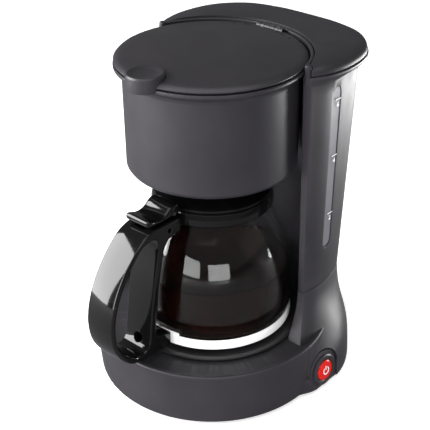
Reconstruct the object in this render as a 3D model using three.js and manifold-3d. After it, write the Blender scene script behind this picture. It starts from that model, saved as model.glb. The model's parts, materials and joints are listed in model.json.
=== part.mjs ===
// Drip coffee maker, about six cups: base with warming plate, rear water column, round brew head and
// glass carafe. Millimetres, +Z up, front is -Y. Every sub-part is its own named Mesh.
import * as THREE from 'three';
import { mergeVertices } from 'three/addons/utils/BufferGeometryUtils.js';
import { LoftGeometry } from 'three/addons/geometries/LoftGeometry.js';
import Module from 'manifold-3d';

const wasm = await Module();
wasm.setup();

// ---- driving dimensions -------------------------------------------------------------------------
const AXIS_Y = 2.5;                            // brew axis forward of the middle of the footprint
const GAP = 0.3;                               // clearance between neighbouring pieces
const FACETS = 0.38;                           // facets of a turned piece, as a share of the finest
const Z_SHELL = 2.5, Z_SEAM = 78;              // lower housing, from its open bottom to the seam
const Z_WELL = 42.5, Z_RIM = 47.5, R_DRUM = 95.2, DRUM_Y = -2;   // front drum of the base
const Z_PLATE = 45.5, R_PLATE = 71.4;            // warming plate
const Z_FLANGE = 262.4, R_CONCAVE = 72.2;      // top of the column, radius of its hollow front wall
const WALL = 2.4;
const R_HEAD = 65.5, Z_HEAD = 182, R_LIP = 71.5, Z_LIP = 265.2;  // brew head
const R_LID = 71, Z_LID = 265.6;
const HINGE_Y = 68.2, HINGE_Z = 269.6, R_KNUCKLE = 2.3;          // lid hinge, level with the lid's top edge
const R_HINGE_PIN = 1.2, R_HINGE_BORE = 1.5;
const RISER_Z = 259.4;                         // where the hot tube crosses into the brew head
const R_BAND = 62.5, Z_BAND1 = 56.8;           // steel band of the carafe
const R_GLASS = 63.6, R_NECK = 43.5;
const HANDLE_W = 27;                           // width of the D-shaped handle
const PANEL_TILT = THREE.MathUtils.degToRad(6);
const SWITCH = new THREE.Vector3(97.2, 23.5, 16.5);              // middle of the push button

// ---- materials ----------------------------------------------------------------------------------
const mat = (color, roughness, metalness = 0, more = {}) =>
  new THREE.MeshStandardMaterial({ color, roughness, metalness, ...more });
const M = {
  body: () => mat(0x3f3f44, 0.5),
  bodyDark: () => mat(0x232327, 0.55),
  gloss: () => mat(0x121214, 0.14),
  plate: () => mat(0x2a2a2d, 0.42, 0.3),
  steel: () => mat(0xc9cbcf, 0.24, 1),
  zinc: () => mat(0x9a9ca0, 0.4, 1),
  glass: () => mat(0xdfe6ea, 0.05, 0, { transparent: true, opacity: 0.35 }),
  clear: () => mat(0xb9bcc2, 0.25, 0, { transparent: true, opacity: 0.7 }),
  red: () => mat(0xc21f1a, 0.3),
  rubber: () => mat(0x1b1b1d, 0.85),
  silicone: () => mat(0xd9d6cd, 0.6),
  alu: () => mat(0xb4b6ba, 0.38, 1),
  mesh: () => mat(0xbdb9a8, 0.5, 0.1),
};

// ---- solids -------------------------------------------------------------------------------------
function solid(geometry, matrix) {
  const g = new THREE.BufferGeometry().copy(geometry);
  if (matrix) g.applyMatrix4(matrix);
  g.deleteAttribute('normal');
  g.deleteAttribute('uv');
  const m = mergeVertices(g, 1e-4), index = m.index.array, tris = [];
  for (let i = 0; i < index.length; i += 3) {
    const [a, b, c] = index.slice(i, i + 3);
    if (a !== b && b !== c && c !== a) tris.push(a, b, c);      // points on the axis leave no area
  }
  const vertProperties = new Float32Array(m.attributes.position.array);
  const whole = new wasm.Manifold(new wasm.Mesh({ numProp: 3, vertProperties,
    triVerts: new Uint32Array(tris) }));
  if (whole.volume() > 0) return whole;
  const turned = tris.map((_, i) => tris[i - (i % 3) + [0, 2, 1][i % 3]]);
  return new wasm.Manifold(new wasm.Mesh({ numProp: 3, vertProperties,
    triVerts: new Uint32Array(turned) }));
}
function geometryOf(manifold) {
  const mesh = manifold.getMesh();
  const g = new THREE.BufferGeometry();
  g.setAttribute('position', new THREE.BufferAttribute(new Float32Array(mesh.vertProperties), 3));
  g.setIndex(new THREE.BufferAttribute(new Uint32Array(mesh.triVerts), 1));
  g.computeVertexNormals();
  return g;
}
const move = (x, y, z) => new THREE.Matrix4().makeTranslation(x, y, z);
const turn = (x, y, z) => new THREE.Matrix4().makeRotationFromEuler(new THREE.Euler(x, y, z));
const pose = (x, y, z, a, b, c) => move(x, y, z).multiply(turn(a, b, c));
const add = (first, ...rest) => rest.reduce((a, b) => a.add(b), first);
const cut = (first, ...rest) => rest.reduce((a, b) => a.subtract(b), first);

// Turned solid about +Z from [radius, height] points.
function lathe(points, segments = 48) {
  const pts = points.map(([r, z]) => new THREE.Vector2(r, z));
  if (points[0][0] > 0) pts.push(pts[0].clone());
  const sides = Math.max(8, 2 * Math.round(segments * FACETS / 2));
  return solid(new THREE.LatheGeometry(pts, sides), turn(Math.PI / 2, 0, 0));
}
const disc = (r, z0, z1, n = 32) => lathe([[0, z0], [r, z0], [r, z1], [0, z1]], n);
const ring = (ri, ro, z0, z1, n = 48) => lathe([[ri, z0], [ro, z0], [ro, z1], [ri, z1]], n);
const box = (x0, x1, y0, y1, z0, z1) =>
  solid(new THREE.BoxGeometry(x1 - x0, y1 - y0, z1 - z0),
  move((x0 + x1) / 2, (y0 + y1) / 2, (z0 + z1) / 2));
const place = (manifold, matrix) => solid(geometryOf(manifold), matrix);

// Prism of a closed outline, drawn in XY and standing along +Z.
function prism(shape, height, matrix, curveSegments = 8) {
  return solid(new THREE.ExtrudeGeometry(shape, { depth: height, bevelEnabled: false, curveSegments }),
    matrix);
}
function capsule(width, length) {
  const r = width / 2, s = new THREE.Shape();
  s.moveTo(-r, r);
  s.absarc(0, r, r, Math.PI, 2 * Math.PI, false);
  s.lineTo(r, length - r);
  s.absarc(0, length - r, r, 0, Math.PI, false);
  s.closePath();
  return s;
}
// Tube or rod along a smooth path.
function along(points, radius, steps = 20, sides = 8) {
  const s = new THREE.Shape();
  s.absarc(0, 0, radius, 0, 2 * Math.PI, false);
  const path = new THREE.CatmullRomCurve3(points.map(p => new THREE.Vector3(...p)), false, 'centripetal');
  const options = { extrudePath: path, steps, bevelEnabled: false, curveSegments: sides };
  return solid(new THREE.ExtrudeGeometry(s, options));
}

// ---- plan outlines of the rear body ---------------------------------------------------------------
// Each outline lists half of the plan, from the front edge beside the carafe to the middle of the rear.
function outline(half, inset = 0, count = 8) {
  const right = half.map(([x, y]) => new THREE.Vector3(x, y, 0));
  const left = half.slice(0, -1).reverse().map(([x, y]) => new THREE.Vector3(-x, y, 0));
  const curve = new THREE.CatmullRomCurve3([...right, ...left], false, 'centripetal');
  const pts = curve.getSpacedPoints(2 * count);
  if (!inset) return pts;
  return pts.map((p, i) => {
    const a = pts[Math.max(0, i - 1)], b = pts[Math.min(pts.length - 1, i + 1)];
    const t = new THREE.Vector3().subVectors(b, a).normalize();
    return new THREE.Vector3(p.x - inset * t.y, p.y + inset * t.x, 0);
  });
}
function loft(levels, inset = 0) {
  const sections = levels.map(level =>
    outline(level.half, inset + (level.inset ?? 0)).map(p => new THREE.Vector3(p.x, p.y, level.z)));
  return solid(new LoftGeometry(sections, { capStart: true, capEnd: true }));
}
const FOOT_PLAN = [[92.6, -3.5], [99, 10], [101, 32], [95, 57.5], [70, 92], [34, 111], [0, 115.5]];
const SEAM_PLAN = [[72.4, 25.5], [74.6, 42], [72.5, 61], [64, 82.5], [46, 96], [24, 101], [0, 102]];
const TOP_PLAN = [[75.6, 21], [78.6, 40], [77.2, 62], [70.5, 86.5], [51, 103.5], [27, 110], [0, 111]];
const FLANGE_PLAN = [[75.8, 20.5], [82, 34], [84.8, 57], [77.5, 87.5], [57, 109.5], [30, 118], [0, 119.5]];
const between = (a, b, t) => a.map(([x, y], i) => [x + (b[i][0] - x) * t, y + (b[i][1] - y) * t]);

// ---- lower housing --------------------------------------------------------------------------------
const FLARE = [[Z_SHELL, 0], [15, 0.04], [28, 0.12], [38, 0.29], [48, 0.53], [58, 0.76], [68, 0.92],
  [Z_SEAM, 1]];
const flareLevels = FLARE.map(([z, t]) => ({ z, half: between(FOOT_PLAN, SEAM_PLAN, t) }));
// frame of the switch panel: x along +Y, y up the panel, z out of it
const PANEL = new THREE.Matrix4().makeBasis(new THREE.Vector3(0, 1, 0),
  new THREE.Vector3(-Math.sin(PANEL_TILT), 0, Math.cos(PANEL_TILT)),
  new THREE.Vector3(Math.cos(PANEL_TILT), 0, Math.sin(PANEL_TILT))).setPosition(SWITCH);
const onPanel = (x = 0, y = 0, z = 0) => PANEL.clone().multiply(move(x, y, z));
function archShape(grow) {
  const s = new THREE.Shape(), r = 16 + grow;
  s.moveTo(-r, -30);
  s.lineTo(r, -30);
  s.lineTo(r, 1.5);
  s.absarc(0, 1.5, r, 0, Math.PI, false);
  s.closePath();
  return s;
}
// frame of the cord opening, on the flat of the rear wall a little left of the middle
const rearWall = outline(between(FOOT_PLAN, SEAM_PLAN, 0.045));
const atCord = rearWall.findIndex(p => p.x < -12 && p.y > 90);
const [wallA, wallB] = [rearWall[atCord - 1], rearWall[atCord]];
const CORD_HOLE = move((wallA.x + wallB.x) / 2, (wallA.y + wallB.y) / 2, 16)
  .multiply(turn(0, 0, Math.atan2(wallB.y - wallA.y,
  wallB.x - wallA.x) + Math.PI)).multiply(turn(-Math.PI / 2, 0, 0));
function lowerHousing() {
  const drum = lathe([[0, Z_SHELL], [92.6, Z_SHELL], [94, 4.5], [R_DRUM, 20], [R_DRUM, Z_RIM - 1.6],
    [R_DRUM - 0.6, Z_RIM - 0.4], [R_DRUM - 1.8, Z_RIM], [0, Z_RIM]], 72).translate([0, DRUM_Y, 0]);
  const drumHollow = lathe([[0, 0], [90.4, 0], [92.6, Z_WELL - 2.6], [0, Z_WELL - 2.6]],
    60).translate([0, DRUM_Y, 0]);
  const well = disc(R_DRUM - 4.2, Z_WELL, Z_RIM + 40, 72).translate([0, DRUM_Y, 0]);
  const flare = cut(loft(flareLevels), disc(R_CONCAVE, Z_WELL, 100, 72));
  const hollowLevels = [{ ...flareLevels[0], z: 0 }, ...flareLevels.slice(1, -1),
    { z: Z_SEAM - 2.6, half: between(FOOT_PLAN, SEAM_PLAN, 0.99) }];
  const flareHollow = cut(loft(hollowLevels, WALL), disc(R_CONCAVE + WALL, Z_WELL - 2.6, 100, 72));
  let s = add(cut(drum, well), flare);
  s = cut(s, drumHollow, flareHollow, disc(R_PLATE - 6, Z_WELL - 4, Z_WELL + 1, 48));
  const backing = prism(archShape(2.4), 20, onPanel(0, 0, -2.6));
  s = add(s, cut(backing.intersect(loft(flareLevels)), box(-200, 200, -200, 200, -50, Z_SHELL)));
  s = cut(s, prism(archShape(0), 20, onPanel()), place(disc(12.6, -6, 6, 32), PANEL));
  s = cut(s, disc(8, 60, 100, 20).translate([0, 88, 0]), disc(6, 60, 100, 20).translate([26, 84, 0]));
  return cut(s, place(disc(8, -8, 8, 24), CORD_HOLE));
}

// ---- column, tank and covers ----------------------------------------------------------------------
const columnAt = z => between(SEAM_PLAN, TOP_PLAN, (z - Z_SEAM) / (256 - Z_SEAM));
const columnLevels = [Z_SEAM + GAP, 110, 160, 210, 256].map(z => ({ z, half: columnAt(z) }));
const flangeLevels = [{ z: 254, half: columnAt(254) },
  { z: 258.5, half: between(columnAt(256), FLANGE_PLAN, 0.8) },
  { z: 260.4, half: FLANGE_PLAN }, { z: Z_FLANGE, half: FLANGE_PLAN }];
const POST = new THREE.Vector2(75, 0).rotateAround(new THREE.Vector2(), THREE.MathUtils.degToRad(17.5));
const WINDOW = new THREE.Matrix4().makeBasis(new THREE.Vector3(0, 1, 0), new THREE.Vector3(0, 0, 1),
  new THREE.Vector3(1, 0, 0));
const windowPrism = inset => prism(capsule(10.6 - 2 * inset, 136 - 2 * inset), 60,
  move(50, 50, 112 + inset).multiply(WINDOW));
const riserHole = () => place(disc(3.8, 0, 30, 16), pose(0, 52, RISER_Z, -Math.PI / 2, 0, 0));
const columnInside = (z0, z1, inset) => loft([{ z: z0, half: columnAt(Math.max(z0, Z_SEAM)) },
  ...[110, 160, 210].map(z => ({ z, half: columnAt(z) })), { z: z1, half: columnAt(Math.min(z1, 258)) }],
  inset);
function tankHousing() {
  const hollow = cut(columnInside(70, 280, WALL), disc(R_CONCAVE + WALL, 0, 300, 72));
  let s = cut(add(loft(columnLevels), loft(flangeLevels)), disc(R_CONCAVE, 0, 300, 96), hollow);
  const rib = ring(R_CONCAVE, R_CONCAVE + WALL, Z_FLANGE - 1, 270.6, 96)
    .intersect(loft([{ z: 250, half: columnAt(258) }, { z: 280, half: columnAt(258) }], 0.6));
  s = add(s, rib);
  for (const side of [1, -1]) {
    const post = lathe([[0, 255], [2.6, 255], [2.6, 268.8], [1.8, 270.5], [0, 271.1]], 16);
    s = add(s, post.translate([side * POST.x, POST.y, 0]));
  }
  return cut(s, windowPrism(0), riserHole());
}
function waterTank() {
  const body = cut(columnInside(84, 252, WALL + 0.8), disc(R_CONCAVE + WALL + 0.8, 0, 300, 72),
    box(-200, 200, -50, 31, 0, 300));
  const room = cut(columnInside(86.2, 262, WALL + 2.8), disc(R_CONCAVE + WALL + 2.8, 0, 300, 72),
    box(-200, 200, -50, 34, 0, 300));
  return cut(body, room, disc(4.4, 80, 90, 20).translate([0, 88, 0]),
    disc(4.8, 80, 90, 20).translate([26, 84, 0]));
}
function levelWindow() {
  const shell = cut(loft(columnLevels, 0.35), columnInside(70, 280, WALL));
  return shell.intersect(windowPrism(0.3));
}
function rearCover() {
  const at = (z, inset) => ({ z, inset, half: FLANGE_PLAN });
  const outer = loft([at(Z_FLANGE + GAP, 0.9), at(266.2, 1.2), at(268.2, 2.8), at(269.6, 6), at(270.9, 13),
    at(271.8, 24)]);
  const inner = cut(loft([at(255, 3.4), at(265, 3.8), at(267, 8)]),
    disc(R_CONCAVE + WALL + 2.9, 0, 300, 72),
    box(-200, 200, -90, 33, 0, 300));
  const posts = [1, -1].map(side => disc(3.2, 0, 300, 16).translate([side * POST.x, POST.y, 0]));
  return cut(outer, disc(R_CONCAVE + WALL + 0.5, 0, 300, 96), inner, ...posts,
    box(-200, 200, -90, 22.5, 0, 300));
}

// ---- brew head --------------------------------------------------------------------------------------
function brewHead() {
  const shell = lathe([[26, Z_HEAD], [61, Z_HEAD], [63.6, Z_HEAD + 0.8], [R_HEAD, Z_HEAD + 3.6],
    [R_HEAD, 256],
    [R_HEAD + 0.6, 258.5], [R_LIP - 2, 261.6], [R_LIP, 262.6], [R_LIP, Z_LIP], [67, Z_LIP], [63.1, 258],
    [63.1, 187], [61, 184.6], [26, 184.6]], 72);
  const neck = cut(box(-26, 26, 60, 75, 196, 255), disc(64, 190, 260, 72))
    .intersect(disc(R_CONCAVE - GAP, 190, 260, 72));
  return cut(add(shell, neck), riserHole());
}
const brewFunnel = () => lathe([[9.4, 185.2], [24, 185.2], [52, 199], [59.5, 232], [62.4, 256],
  [62.4, 257.4],
  [60.4, 257.4], [57.6, 232.5], [50.5, 200.6], [23.4, 187.2], [9.4, 187.2]], 48);
function filterBasket() {
  const cup = lathe([[0, 195.4], [26, 195.4], [47.5, 205], [55, 234], [57.4, 255], [60, 255], [60, 256.6],
    [55.8, 256.6],
    [53.4, 234.4], [46.2, 206.2], [25.4, 197.2], [0, 197.2]], 48);
  return cut(cup, disc(1.6, 190, 199, 10),
    ...[0, 1, 2, 3].map(i => disc(1.6, 190, 199,
    10).translate([i < 2 ? 8 - 16 * i : 0, i > 1 ? 40 - 16 * i : 0, 0])));
}
function meshFilter() {
  const cone = lathe([[0, 197.9], [24, 197.9], [44.6, 207.2], [51.6, 234.6], [52.4, 250], [53.4, 250],
    [53.4, 252],
    [51.4, 252], [50.4, 234.9], [43.6, 208.2], [23.6, 199.1], [0, 199.1]], 40);
  return add(cone, along([[-52, 0, 250.8], [-34, 0, 252.6], [0, 0, 253.8], [34, 0, 252.6], [52, 0, 250.8]],
    1.1, 10, 4));
}
const dripNozzle = () => lathe([[4.2, 175], [7, 175], [8.4, 176.5], [8.4, 187.5], [11.5, 187.5],
  [11.5, 189],
  [4.2, 189]], 28);
const dripValve = () => lathe([[0, 171.3], [2, 171.3], [3, 172.2], [3.2, 178], [3.2, 183], [1.8, 184.5],
  [1.8, 192.6],
  [5.8, 192.6], [5.8, 194], [0, 194]], 20);
function steamShower() {
  const plate = lathe([[0, 258.6], [27, 258.6], [29, 259.4], [29, 261.2], [4.6, 261.2], [4.6, 262.9],
    [0, 262.9]], 32);
  const holes = [0, 1, 2, 3, 4, 5].map(i => disc(1.4, 250, 262, 8)
    .translate([18 * Math.cos((i + 0.5) * Math.PI / 3), 18 * Math.sin((i + 0.5) * Math.PI / 3), 0]));
  return cut(add(plate, box(-5, 5, 20, 62.4, 258.9, 261.2)), ...holes);
}

// ---- front lid, about its hinge -----------------------------------------------------------------------
const TAB_Y = -66.5;
function frontLid() {
  let s = lathe([[0, 268.6], [60, 267.4], [66, 266.6], [66.6, Z_LID], [R_LID - 1.6, Z_LID],
    [R_LID, Z_LID + 1.3],
    [R_LID, 267.6], [R_LID - 1, 268.9], [R_LID - 3.4, 269.9], [55, 271.2], [30, 272.4], [0, 272.8]], 72);
  for (const side of [1, -1]) {
    // vent slots along the rear edge, a dash and a dot on each side
    for (const [deg, half] of [[13.5, 5.6], [25.5, 0.9]]) {
      const a = THREE.MathUtils.degToRad(90 - side * deg);
      s = cut(s, place(box(-half, half, -0.75, 0.75, 260, 280),
        pose(63.4 * Math.cos(a), 63.4 * Math.sin(a), 0, 0, 0, a - Math.PI / 2)));
    }
  }
  // knuckle along the hinge, notched for the two fixed ears and bored for the pin
  s = add(s, place(disc(R_KNUCKLE, -12.6, 12.6, 24), pose(0, HINGE_Y, HINGE_Z, 0, Math.PI / 2, 0)));
  for (const side of [1, -1]) s = cut(s, box(side * 7 - 2.1, side * 7 + 2.1, HINGE_Y - 3.3, 80, 260, 280));
  s = cut(s, place(disc(R_HINGE_BORE, -14, 14, 16), pose(0, HINGE_Y, HINGE_Z, 0, Math.PI / 2, 0)));
  return cut(s, disc(14.4, 260, 280, 32).translate([0, TAB_Y, 0]));
}
const thumbTab = () => cut(lathe([[0, 268.9], [11.8, 268.9], [11.8, 262.8], [14, 262.8], [14, 272.8],
  [13.2, 274.2],
  [12, 274.2], [8.6, 273], [0, 271.8]], 32).translate([0, TAB_Y, 0]), disc(R_LIP + GAP, 260, Z_LID, 72));
const hingePin = () => place(disc(R_HINGE_PIN, -12, 12, 12), pose(0, HINGE_Y, HINGE_Z, 0, Math.PI / 2, 0));
function hingeEar(x) {
  const leaf = add(place(disc(R_KNUCKLE, x - 1.7, x + 1.7, 16),
    pose(0, HINGE_Y, HINGE_Z, 0, Math.PI / 2, 0)),
    box(x - 1.7, x + 1.7, HINGE_Y - 2.1, HINGE_Y + 2.1, Z_LIP + GAP, HINGE_Z));
  return cut(leaf, place(disc(R_HINGE_BORE, x - 3, x + 3, 16),
    pose(0, HINGE_Y, HINGE_Z, 0, Math.PI / 2, 0)));
}

// ---- warming plate, heater and plumbing inside the base -------------------------------------------------
const warmingPlate = () => lathe([[0, 44.3], [62, 44.3], [62, 41], [63.6, 41], [63.6, 43.2],
  [R_PLATE - 0.4, 43.2],
  [R_PLATE, 45.2], [R_PLATE - 1.4, Z_PLATE], [0, Z_PLATE]], 64);
function heaterTube() {
  const bend = Array.from({ length: 10 }, (_, i) => THREE.MathUtils.degToRad(64 - i * 34.2))
    .map(a => [48 * Math.cos(a), 48 * Math.sin(a), 39.4]);
  return along([[13, 66, 33.4], [14.5, 57, 34.4], ...bend, [-14.5, 57, 34.4], [-13, 66, 33.4]], 3.9, 20, 4);
}
const thermostat = () => add(disc(9, 32, 43.8, 20), disc(4, 28, 33, 12), box(-14, 14, -3, 3, 36, 38.5));
const thermalFuse = () => add(place(disc(2.4, -9, 9, 12), pose(0, 24, 41.2, 0, Math.PI / 2, 0)),
  place(disc(0.7, -15, 15, 8), pose(0, 24, 41.2, 0, Math.PI / 2, 0)));
const heaterClamp = () => add(box(-58, 58, -26, -17, 31, 32.8),
  ...[-46, 46].map(x => box(x - 5, x + 5, -26, -17, 32, 35)));
const checkValve = () => lathe([[0, 58], [3, 58], [3, 64], [7, 65.5], [7, 76], [3.9, 78], [3.9, 88],
  [0, 88]], 20)
  .translate([0, 88, 0]);
const coldHose = () => along([[0, 88, 57.6], [0, 88, 50], [-6, 84, 38], [-11.6, 75, 33.6],
  [-13, 67.2, 33.2]], 3.4, 8, 4);
const riserTube = () => along([[13.4, 68.4, 33.2], [17, 77, 35], [26, 84, 52], [26, 84, 90], [26, 84, 170],
  [26, 84, 240], [20, 83, 252], [8, 82, 258], [1, 79.6, 259.3], [0, 76.4, RISER_Z], [0, 62.9, RISER_Z]],
  2.8, 24, 4);
function bottomPlate() {
  const disk = disc(88.4, Z_SHELL + 0.1, 4.4, 60).translate([0, DRUM_Y, 0]);
  const rear = loft([{ z: Z_SHELL + 0.1, half: FOOT_PLAN }, { z: 4.4, half: FOOT_PLAN }], WALL + 1);
  return cut(add(disk, rear), prism(archShape(3), 24, onPanel(0, 0, -3.4)),
    ...SCREWS.map(([x, y]) => disc(3.8, 0, 10, 16).translate([x, y, 0])),
    ...[-18, 0, 18].map(x => box(x - 1.6, x + 1.6, 20, 50, 0, 10)));
}
const FEET = [[-58, -52], [58, -52], [-64, 76], [64, 76]];
const SCREWS = [[-70, -10], [70, -10], [-40, 94], [40, 94]];
const foot = ([x, y]) => lathe([[0, 0], [6.6, 0], [7.6, 0.8], [7.6, 2.3], [0, 2.3]],
  24).translate([x, y, 0]);
const screw = ([x, y]) => cut(lathe([[0, 2.8], [3.3, 2.8], [3.3, 4.6], [1.6, 5], [1.6, 14], [0, 15]], 14)
  .translate([x, y, 0]), box(x - 2.4, x + 2.4, y - 0.4, y + 0.4, 2, 3.5),
  box(x - 0.4, x + 0.4, y - 2.4, y + 2.4, 2, 3.5));
const cordGland = () => place(cut(lathe([[0, -8], [6.8, -8], [6.8, 0.5], [9.4, 0.5], [8.6, 2.2],
  [5.4, 2.8], [0, 2.8]], 24),
  disc(3, -4, 6, 14)), CORD_HOLE);

// ---- switch -------------------------------------------------------------------------------------------
const switchBezel = () => place(lathe([[8.9, -3.2], [11.8, -3.2], [11.8, GAP], [13.4, GAP], [13.4, 1.1],
  [12.4, 2],
  [9.6, 1.5], [8.9, 0.9]], 40), PANEL);
const powerButton = () => place(lathe([[0, -4.6], [8.5, -4.6], [8.5, 1.7], [7.7, 2.5], [5, 2.8],
  [0, 2.86]], 32), PANEL);
const switchBody = () => place(cut(add(box(-8, 8, -8.5, 8.5, -22, -8.4), box(-5, -3.6, -5, 5, -28, -21),
  box(3.6, 5, -5, 5, -28, -21)), box(-3, 3, -3, 3, -12, -8)), PANEL);

// ---- carafe -------------------------------------------------------------------------------------------
const GLASS = [[54, 46.2], [58.6, 47.6], [61.2, 51], [61.9, 57], [R_GLASS, 66], [R_GLASS, 78], [61.4, 96],
  [56.6, 116], [50, 134], [R_NECK, 146], [42.6, 152], [43.4, 157.5]];
const carafeGlass = () => lathe([[0, 46.2], ...GLASS,
  ...GLASS.slice(3).reverse().map(([r, z]) => [r - 2.1, z]), [58.4, 51], [52.6, 48.4], [0, 48.4]], 48);
const steelBand = () => lathe([[62.1, 48.8], [62.5, 48.8], [R_BAND + 0.6, 49.4],
  [R_BAND + 0.6, Z_BAND1 - 0.5],
  [R_BAND + 0.2, Z_BAND1], [62.2, Z_BAND1]], 48);
const carafeCollar = () => lathe([[44.6, 148.2], [46.6, 148.4], [48, 150.4], [47.8, 155], [46.6, 159],
  [44.8, 160.3],
  [43.9, 160.3], [43.9, 149.2]], 48);
function carafeLid() {
  const lid = lathe([[0, 170.2], [8, 169.9], [20, 168.7], [33, 166.4], [43, 163.8], [46.4, 162.6],
    [46.8, 161.6],
    [46.4, 160.7], [40.6, 160.7], [40.2, 153], [38.4, 153], [38.2, 162.6], [20, 166.4], [0, 168]], 48);
  const holes = [0, 1, 2, 3, 4, 5].map(i => disc(1.5, 150, 180, 8)
    .translate([14 * Math.cos(i * Math.PI / 3), 14 * Math.sin(i * Math.PI / 3), 0]));
  return cut(lid, ...holes);
}
// The handle and the lid lever are drawn in the plane through the carafe axis, as [reach, height],
// and given their width along X.
function slab(points, width, bevel = 0, holes = []) {
  const s = new THREE.Shape(points.map(([r, z]) => new THREE.Vector2(r, z)));
  for (const h of holes) s.holes.push(new THREE.Path(h.map(([r, z]) => new THREE.Vector2(r, z)).reverse()));
  const options = { depth: width - 2 * bevel, bevelEnabled: bevel > 0, bevelThickness: bevel,
    bevelSize: bevel,
    bevelOffset: -bevel, bevelSegments: 1 };
  const upright = new THREE.Matrix4().makeBasis(new THREE.Vector3(0, -1, 0), new THREE.Vector3(0, 0, 1),
    new THREE.Vector3(-1, 0, 0));
  return solid(new THREE.ExtrudeGeometry(s, options), upright.setPosition(width / 2 - bevel, 0, 0));
}
const smooth = (points, n) => new THREE.CatmullRomCurve3(points.map(([r, z]) =>
  new THREE.Vector3(r, z, 0)), false,
  'centripetal').getSpacedPoints(n).map(p => [p.x, p.y]);
const D_OUTER = smooth([[77, 158.6], [86.5, 155.5], [99.5, 145], [111.5, 130], [120, 113.5], [124.2, 97],
  [124.2, 84],
  [121.6, 73], [115.5, 62.5], [107.5, 55], [99, 51.6], [89, 50.4]], 26);
const D_HOLE = [...smooth([[80, 151], [88.5, 149], [98, 140.5], [108, 127], [115.8, 112], [119.8, 97],
  [119.8, 84.8],
  [117.6, 75.5], [112, 66.4], [104.6, 60], [97.6, 56.6], [91, 57.4], [87.6, 62], [85.4, 76], [80.4, 107],
  [74, 136],
  [72.8, 143.5], [74.6, 149]], 34)];
const HINGE_PIN = [55.6, 163.4];
const FOOT_SCREW = pose(0, -(R_BAND + 2.6), 55, THREE.MathUtils.degToRad(70), 0, 0);
function handle() {
  let s = slab([[49.4, 146.5], [49.4, 157.6], [52, 158.6], ...D_OUTER, [72, 49.8], [64.4, 49.8],
    [64.4, 61], [70, 63.4],
    [79, 66], [79.6, 74], [75, 106], [67.6, 139], [62, 144.6]], HANDLE_W, 1.2, [D_HOLE]);
  // the collar strap hugs the neck, the foot hugs the band
  s = cut(s, disc(48.6, 130, 170, 48), disc(R_BAND + 2.2, 40, 64, 48));
  const recess = box(-5.4, 5.4, -80, -66, 154.6, 164);            // under the end of the lid lever
  return cut(s, recess,
    place(disc(2, -10, 16, 12), pose(0, -62, 152, 0, Math.PI / 2, 0)),
    place(disc(2.2, -4, 10, 14), FOOT_SCREW), place(disc(4.4, 6.6, 30, 16), FOOT_SCREW));
}
function lidLever() {
  const s = slab([[47.4, 161.2], [47.4, 165.2], [49.2, 168.6], [52.4, 170.2], [56.6, 170], [60, 168],
    [63.4, 165.2], [68, 163.8], [73, 164], [78, 165.8], [81, 166.6], [82, 165], [81.4, 161.6], [79, 160.4],
    [60, 160.2]], 24, 1);
  return cut(s, place(disc(1.9, -20, 20, 12), pose(0, -HINGE_PIN[0], HINGE_PIN[1], 0, Math.PI / 2, 0)),
    disc(47.2, 150, 180, 48));
}
const leverPin = () => place(disc(1.6, -13.2, 13.2, 12),
  pose(0, -HINGE_PIN[0], HINGE_PIN[1], 0, Math.PI / 2, 0));
const handleScrew = () => place(cut(lathe([[0, 0.4], [1.6, 0.4], [1.6, 6.9], [3.4, 7.1], [3, 8.6],
  [0, 9.2]], 14),
  box(-3, 3, -0.4, 0.4, 8.2, 12)), FOOT_SCREW);
const bandClip = () => cut(ring(R_BAND + 0.9, R_BAND + 1.8, 50.4, 60,
  48).intersect(box(-18, 18, -80, 0, 40, 70)),
  place(disc(2.1, 50, 80, 12), pose(0, 0, 55, Math.PI / 2, 0, 0)));

// ---- assembly -------------------------------------------------------------------------------------------
const root = new THREE.Group();
const machine = new THREE.Group();
machine.position.set(0, AXIS_Y, 0);
root.add(machine);
function piece(name, manifold, material) {
  const mesh = new THREE.Mesh(geometryOf(manifold), material);
  mesh.name = name;
  machine.add(mesh);
}
piece('lower_housing', lowerHousing(), M.body());
piece('bottom_plate', bottomPlate(), M.bodyDark());
FEET.forEach((at, i) => piece(`foot_${i + 1}`, foot(at), M.rubber()));
SCREWS.forEach((at, i) => piece(`base_screw_${i + 1}`, screw(at), M.zinc()));
piece('warming_plate', warmingPlate(), M.plate());
piece('heater_tube', heaterTube(), M.alu());
piece('heater_clamp', heaterClamp(), M.zinc());
piece('thermostat', thermostat(), M.alu());
piece('thermal_fuse', thermalFuse(), M.silicone());
piece('check_valve', checkValve(), M.silicone());
piece('cold_hose', coldHose(), M.silicone());
piece('riser_tube', riserTube(), M.silicone());
piece('cord_gland', cordGland(), M.rubber());
piece('tank_housing', tankHousing(), M.body());
piece('water_tank', waterTank(), M.clear());
piece('level_window', levelWindow(), M.clear());
piece('rear_cover', rearCover(), M.body());
piece('brew_head', brewHead(), M.body());
piece('brew_funnel', brewFunnel(), M.bodyDark());
piece('filter_basket', filterBasket(), M.bodyDark());
piece('mesh_filter', meshFilter(), M.mesh());
piece('drip_nozzle', dripNozzle(), M.bodyDark());
piece('drip_valve', dripValve(), M.silicone());
piece('steam_shower', steamShower(), M.bodyDark());
piece('front_lid', frontLid(), M.body());
piece('thumb_tab', thumbTab(), M.body());
piece('lid_hinge_pin', hingePin(), M.bodyDark());
piece('hinge_ear_right', hingeEar(7), M.body());
piece('hinge_ear_left', hingeEar(-7), M.body());
piece('switch_bezel', switchBezel(), M.body());
piece('power_button', powerButton(), M.red());
piece('switch_body', switchBody(), M.bodyDark());
piece('carafe_glass', carafeGlass(), M.glass());
piece('carafe_collar', carafeCollar(), M.gloss());
piece('carafe_lid', carafeLid(), M.gloss());
piece('lid_lever', lidLever(), M.gloss());
piece('lever_pin', leverPin(), M.bodyDark());
piece('handle', handle(), M.gloss());
piece('steel_band', steelBand(), M.steel());
piece('band_clip', bandClip(), M.steel());
piece('handle_screw', handleScrew(), M.zinc());

export default root;
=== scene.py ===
# Drip coffee maker: the fine surfaces and the looks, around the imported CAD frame.
import json
import math

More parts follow.
